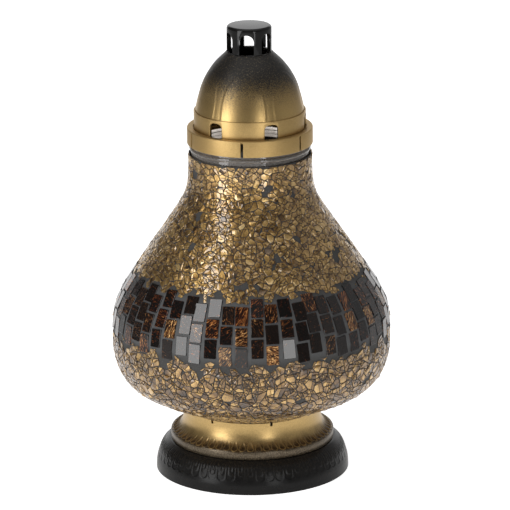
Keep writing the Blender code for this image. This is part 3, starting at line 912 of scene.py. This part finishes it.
def crackledMap(low, high, cell):
    # random points joined into triangles, then merged round every second or third point into crackle
    points, ranks = [], []
    margin = 0.35
    up, top = mapAt(low, faceZ) - 0.03, mapAt(high, faceZ) + 0.03
    while up < top:
        radius = fromMap(up, faceR)
        count = int(tau * radius / cell)
        for k in range(count):
            angle = tau * (k + dice.uniform(-0.48, 0.48)) / count
            height = up + dice.uniform(-0.46, 0.46) * cell / radius
            rank = dice.random()
            for shift in (-tau, 0, tau):
                if -margin < angle + shift < tau + margin:
                    points.append(Vector((angle + shift, height)))
                    ranks.append(rank)
        up += cell * 0.9 / radius
    spots, _, triangles, origins, _, _ = geometry.delaunay_2d_cdt(points, [], [], 0, 1e-7)
    bm = bmesh.new()
    verts = [bm.verts.new((p.x, p.y, 0)) for p in spots]
    rankOf = {v: ranks[o[0]] for v, o in zip(verts, origins)}
    for corners in triangles:
        bm.faces.new([verts[i] for i in corners])
    chosen, blocked = set(), set()
    for _ in range(3):
        fresh = [v for v in bm.verts if v not in blocked and not v.is_boundary
            and all(rankOf[v] > rankOf[o] for o in beside(v) if o not in blocked)]
        chosen.update(fresh)
        blocked.update(fresh)
        blocked.update(o for v in fresh for o in beside(v))
    bmesh.ops.dissolve_verts(bm, verts=list(chosen))
    away = [f for f in bm.faces if not 0 <= f.calc_center_median().x < tau]
    dropFaces(bm, away)
    bmesh.ops.split_edges(bm, edges=bm.edges[:])
    return bm


def splitFace(face, pieces):
    # cracks one chip into smaller ones, each time across its longest part
    made = [face]
    for _ in range(pieces):
        big = max(made, key=lambda f: f.calc_area())
        edges = sorted(big.edges, key=lambda e: -e.calc_length())
        first = edges[0]
        second = max(edges[1:], key=lambda e: e.calc_length() * dice.uniform(0.5, 1.2)
            * (0.4 if set(e.verts) & set(first.verts) else 1))
        ends = []
        for edge in (first, second):
            _, middle = bmesh.utils.edge_split(edge, edge.verts[0], dice.uniform(0.32, 0.68))
            ends.append(middle)
        new, _ = bmesh.utils.face_split(big, ends[0], ends[1])
        if new is None:
            return
        made.append(new)


def shrinkFaces(bm, gap, leastWidth):
    # pulls every chip back from its edges and drops the slivers and any that turn inside out
    thin = [f for f in bm.faces if 2 * f.calc_area() / f.calc_perimeter() < (gap + leastWidth / 2) * mm]
    dropFaces(bm, thin)
    reach = {f: (f.calc_center_median(), f.normal.copy(), f.calc_area()) for f in bm.faces}
    rims = bmesh.ops.inset_individual(bm, faces=bm.faces[:], thickness=gap * mm, use_even_offset=False)["faces"]
    dropFaces(bm, rims)
    bm.normal_update()
    bad = [f for f in bm.faces if f.normal.dot(reach[f][1]) < 0.5 or f.calc_area() > reach[f][2]]
    dropFaces(bm, bad)


def makeChips(name, zone, node):
    s, z = chipShape, chipShape[zone]
    bm = crackledMap(z["low"], z["high"], z["cell"])
    bottom, top = mapAt(z["low"], faceZ), mapAt(z["high"], faceZ)
    bare = []
    for f in bm.faces:
        centre = f.calc_center_median()
        where = onFace(centre.x, centre.y) / mm
        patch = noise.noise(where * 0.085) + 0.45 * noise.noise(where * 0.3)
        out = not bottom < centre.y < top
        if out or patch > z["bare"] or any(underTile(v.co.x % tau, v.co.y, s["tileMargin"]) for v in f.verts):
            bare.append(f)
    dropFaces(bm, bare)
    for vert in bm.verts:
        vert.co = onFace(vert.co.x, min(top, max(bottom, vert.co.y)))
    bm.normal_update()
    shrinkFaces(bm, z["wideGap"], 0.5)
    for f in bm.faces[:]:
        width = 2 * f.calc_area() / f.calc_perimeter() / mm
        splitFace(f, dice.randint(*z["splits"]) if width > 0.7 else 0)
    bmesh.ops.split_edges(bm, edges=[e for e in bm.edges if not e.is_boundary])
    bm.normal_update()
    shrinkFaces(bm, z["crackGap"], s["leastWidth"])
    tone = bm.faces.layers.float.new("tone")
    # painted light and shade across each chip, stored per corner
    side = bm.loops.layers.float.new("side")
    for f in bm.faces:
        centre, normal = f.calc_center_median(), f.normal.copy()
        if normal.dot(Vector((centre.x, centre.y, 0))) < 0:
            f.normal_flip()
            normal.negate()
        lean = Vector([dice.gauss(0, 1) for _ in range(3)])
        lean = (lean - normal * lean.dot(normal)).normalized()
        slope = tan(radians(abs(dice.gauss(0, s["tilt"]))))
        sink = dice.uniform(0.08, 0.22) * mm
        span = max((v.co - centre).length for v in f.verts)
        depth = dice.uniform(0.05, 0.32)
        # painted light and shade: each chip is lighter on the side its tilt raises and darker on the other
        for loop in f.loops:
            loop[side] = depth * (loop.vert.co - centre).dot(lean) / span
        for v in f.verts:
            v.co += normal * ((v.co - centre).dot(lean) * slope - sink)
        cloud = noise.noise(centre / mm * 0.06)
        f[tone] = min(0.95, max(0.05, dice.gauss(z["tone"], 0.15) + 0.16 * cloud))
    tops = bm.faces[:]
    bmesh.ops.solidify(bm, geom=tops, thickness=s["thick"] * mm)
    bm.normal_update()
    tops = [f for f in tops if f.is_valid]
    bmesh.ops.inset_individual(bm, faces=tops, thickness=s["chamfer"] * mm, depth=s["chamfer"] * 0.8 * mm,
        use_even_offset=False)
    wide = [f for f in tops if f.calc_area() > 1.6 * mm * mm and len(f.verts) > 3]
    peaks = bmesh.ops.poke(bm, faces=wide, offset=0.0)["verts"]
    for v in peaks:
        reach = sum((o.co - v.co).length for o in beside(v)) / len(v.link_edges)
        v.co += v.normal * dice.uniform(0.0, 0.06) * reach
        v.co += Vector([dice.uniform(-1, 1) for _ in range(3)]) * reach * 0.2
    for v in bm.verts:  # nothing may stand past the widest solid
        v.co.xy *= min(1.0, body["limit"] * mm / hypot(v.co.x, v.co.y))
    print(name, "faces", len(bm.faces))
    place(name, bm, chipFinish, "base", node, sharp=14)


makeChips("chipsLower", "lower", "gold_chips_lower")
makeChips("chipsUpper", "upper", "gold_chips_upper")
print("chips laid")


# ---- the lid ----

collarShape = {"inside": 43.6, "lip": 43.15, "flange": 38.6, "slit": 2.0, "round": 0.8}


def makeCollar():
    s = collarShape
    radius, low, high = boxMm("neck_collar")
    seat, seatHigh, flangeLow = 40.8, high - 1.3, boxMm("glass_vessel")[2] + 0.3
    corner = roundedLine([(seat, high), (radius, high), (radius, low), (s["lip"], low)],
        [0, s["round"], 0.35, 0], 5)
    line = [*corner, (s["lip"], low + 1.8), (s["inside"], low + 2.4), (s["inside"], flangeLow),
        (s["flange"], flangeLow), (s["flange"], seatHigh), (seat, seatHigh)]
    slit = [(-s["slit"] / 2, low - 1), (s["slit"] / 2, low - 1), (s["slit"] / 2, high - 0.9),
        (-s["slit"] / 2, high - 0.9)]
    bm = cutAway(turnMesh(line, 192), windowCutters(slit, 42.0, 46.5))
    softenEdges(bm, 0.18)
    place("neckCollar", bm, collarGold, "lid", "neck_collar")


def makeVentBand():
    radius, low, high = boxMm("vent_band")
    seat, shoulder, inside = 39.4, high - 1.7, 38.1
    corner = roundedLine([(seat, high), (radius, high), (radius, low), (inside, low)], [0, 0.35, 0.2, 0], 4)
    line = [*corner, (inside, shoulder), (seat, shoulder)]
    window = archLine(10.6, low - 1, shoulder - 0.6, 3.8)
    bm = cutAway(turnMesh(line, 192), windowCutters(window, 35.5, 42.5, 30))
    softenEdges(bm, 0.18)
    place("ventBand", bm, bandGold, "lid", "vent_band")


domeShape = {
    "curve": [(17.1, 310.2), (26.0, 301.3), (33.2, 289.5), (37.0, 277.7), (39.1, 268.4)],
    "hole": 14.5, "wall": 1.5, "steps": 60,
    "apex": 299.6, "foot": 267.4, "halfWidth": 16.8, "proud": 0.17, "crease": 0.03,
}


def makeDome():
    s = domeShape
    radius, low, high = boxMm("dome")
    outside = smoothLine(s["curve"], 90)
    inside = insetLine(outside, s["wall"])
    line = [(s["hole"], high), (16.6, high), *outside, (radius, low), (radius - s["wall"], low),
        *reversed(inside[:-1:5]), (s["hole"], high - s["wall"])]
    wall, sector = wallFinder(outside), tau / fold

    def panel(angle, radius, height):
        # six round-topped panels stand a little proud of the ground between them, with a crease along the edge
        if height > high - 0.6 or height < low + 0.6 or radius < wall(height) - 0.4:
            return 0.0, 0.0
        across = offMiddle(angle, sector, radius)
        climb = (height - s["foot"]) / (s["apex"] - s["foot"])
        half = s["halfWidth"] * max(0.0, 1 - max(0.0, climb) ** 2.2) ** 0.5
        inward = half - across if climb < 0.75 else min(half - across, (s["apex"] - height) * 1.15)
        soft = 1.0 if climb < 0.7 else 0.45  # crisper towards the top of the arch
        raised = smoothStep(-0.9 * soft, 0.6 * soft, inward)
        crease = s["crease"] * (smoothStep(0.7, 0.1, abs(inward - 0.4)) - 1)
        return (raised - 1) * s["proud"] + crease, 0.0

    place("domeCover", turnMesh(line, fold * s["steps"], repeat=fold, relief=panel), domePaint, "lid", "dome",
        sharp=60)


def makeHood():
    radius, low, high = boxMm("chimney_hood")
    crown = boxMm("dome")[2]
    spigot, hook, inside, hookTop = 14.2, 15.0, 13.0, crown - 1.8
    cap = [(0.0, high), (radius - 2.2, high)]
    cap += [(radius - 2.2 + 2.2 * sin(radians(a)), high - 1.9 + 1.9 * cos(radians(a)))
        for a in range(12, 91, 13)]
    line = [*cap, (radius, crown + 0.3), (spigot, crown + 0.3), (spigot, hookTop), (hook, hookTop),
        (spigot, low), (inside, low), (inside, high - 3.0), (0.0, high - 3.0)]
    window = archLine(10.6, low - 2, 325.6, 5.2, 10)
    bm = cutAway(turnMesh(line, 144, closed=False), windowCutters(window, 9.5, 18.0))
    softenEdges(bm, 0.16)
    place("chimneyHood", bm, hoodBlack, "lid", "chimney_hood")


def makeHeatShield():
    radius, low, _ = boxMm("heat_shield")
    flue, thick = 11.0, 0.5
    line = [(flue, low + 4.7 + thick), (22.5, low + 4.3), (23.5, low + 3.9), (34.0, low + 3.1),
        (36.0, low + thick), (radius, low + thick), (radius, low), (35.7, low), (33.7, low + 2.6),
        (23.2, low + 3.4), (22.2, low + 3.8), (flue, low + 4.7)]
    holes = bmesh.new()
    for k in range(fold):
        turned = Matrix.Rotation(front + tau * (k + 0.5) / fold, 4, "Z")
        bmesh.ops.create_cone(holes, cap_ends=True, segments=24, radius1=3 * mm, radius2=3 * mm, depth=10 * mm,
            matrix=Matrix.Translation(turned @ Vector((23 * mm, 0, (low + 3) * mm))))
    bm = cutAway(turnMesh(line, 144), holes)
    place("heatShield", bm, tinFinish, "lid", "heat_shield")


makeCollar()
makeVentBand()
makeDome()
makeHood()
makeHeatShield()
print("lid made")


# ---- the candle insert ----

candleShape = {
    "foot": 27.5, "wall": 0.8, "lidHole": 18.0, "ribs": 25, "ribDepth": 0.35,
    "strands": 3, "turns": 8, "rings": 96, "strandSize": 0.56, "strandOut": 0.42,
}


def cupSide(height, inset=0.0):
    # the radius of the tapered cup at a height
    radius, low, high = boxMm("candle_cup")
    foot = candleShape["foot"]
    return foot + (radius - foot) * (height - low) / (high - low) - inset


def makeCup():
    radius, low, high = boxMm("candle_cup")
    foot, wall = candleShape["foot"], candleShape["wall"]
    outer = [(cupSide(z) - (candleShape["ribDepth"] if k % 2 else 0.0), z)
        for k, z in enumerate(np.linspace(high - 6, low + 4, candleShape["ribs"]))]
    line = [(0.0, low + 1.0), (cupSide(low + 1, wall) - 1.5, low + 1.0),
        (cupSide(low + 3, wall + 0.35), low + 3.0), (cupSide(high - 5, wall + 0.3), high - 5),
        (radius - wall, high), (radius, high), *outer, (cupSide(low + 1.5), low + 1.5), (foot - 1.2, low),
        (foot - 6, low), (foot - 8, low + 0.5), (0.0, low + 0.5)]
    place("candleCup", turnMesh(line, 96, closed=False), cupFinish, "candle", "candle_cup", 30)


def makeLidRing():
    radius, low, high = boxMm("candle_lid_ring")
    hole = candleShape["lidHole"]
    line = [(hole, high), (hole + 1.2, high), (hole + 2.0, high - 0.45), (radius - 3.2, high - 0.45),
        (radius - 2.2, high), (radius - 0.5, high), (radius - 0.15, high - 0.15), (radius, high - 0.5),
        (radius, low), (radius - 0.45, low), (radius - 0.45, high - 0.5), (radius - 2.2, high - 0.35),
        (radius - 3.2, high - 0.8), (hole + 2.0, high - 0.8), (hole + 1.2, high - 0.4), (hole, high - 0.4)]
    place("candleLidRing", turnMesh(line, 96), tinFinish, "candle", "candle_lid_ring")


def makeWax():
    _, low, high = boxMm("wax")
    wall = candleShape["wall"]
    line = [(1.2, high - 0.9), (3.0, high - 0.75), (10.0, high - 0.7), (22.0, high - 0.55), (27.6, high - 0.3),
        (cupSide(high, wall + 0.75), high), (cupSide(low + 3, wall + 0.75), low + 3),
        (cupSide(low, wall) - 3.5, low), (2.4, low), (2.4, low + 4.3), (1.2, low + 4.3)]
    place("waxFill", turnMesh(line, 72), waxFinish, "candle", "wax", 50)


def makeWickDisc():
    radius, low, high = boxMm("wick_sustainer")
    line = [(1.3, high), (2.0, high), (2.0, low + 0.9), (2.4, low + 0.6), (radius, low + 0.6), (radius, low),
        (1.3, low)]
    place("wickDisc", turnMesh(line, 36), tinFinish, "candle", "wick_sustainer")


def makeWick():
    # strands wound round each other
    s = candleShape
    radius, low, high = boxMm("wick")
    bm = bmesh.new()
    for strand in range(s["strands"]):
        size = radius * s["strandSize"] * mm
        ring = bmesh.ops.create_circle(bm, cap_ends=True, segments=8, radius=size)["verts"]
        bmesh.ops.translate(bm, vec=(radius * s["strandOut"] * mm, 0, low * mm), verts=ring)
        turn = Matrix.Rotation(tau * strand / s["strands"], 3, "Z")
        bmesh.ops.rotate(bm, cent=(0, 0, 0), matrix=turn, verts=ring)
        faces = list({f for v in ring for f in v.link_faces})
        bmesh.ops.spin(bm, geom=faces, cent=(0, 0, 0), axis=(0, 0, 1), dvec=(0, 0, (high - low) / s["rings"] * mm),
            angle=tau * s["turns"], steps=s["rings"], use_duplicate=False)
    bmesh.ops.recalc_face_normals(bm, faces=bm.faces[:])
    place("plaitedWick", bm, cottonFinish, "candle", "wick", 60)


makeCup()
makeLidRing()
makeWax()
makeWickDisc()
makeWick()
print("candle made")
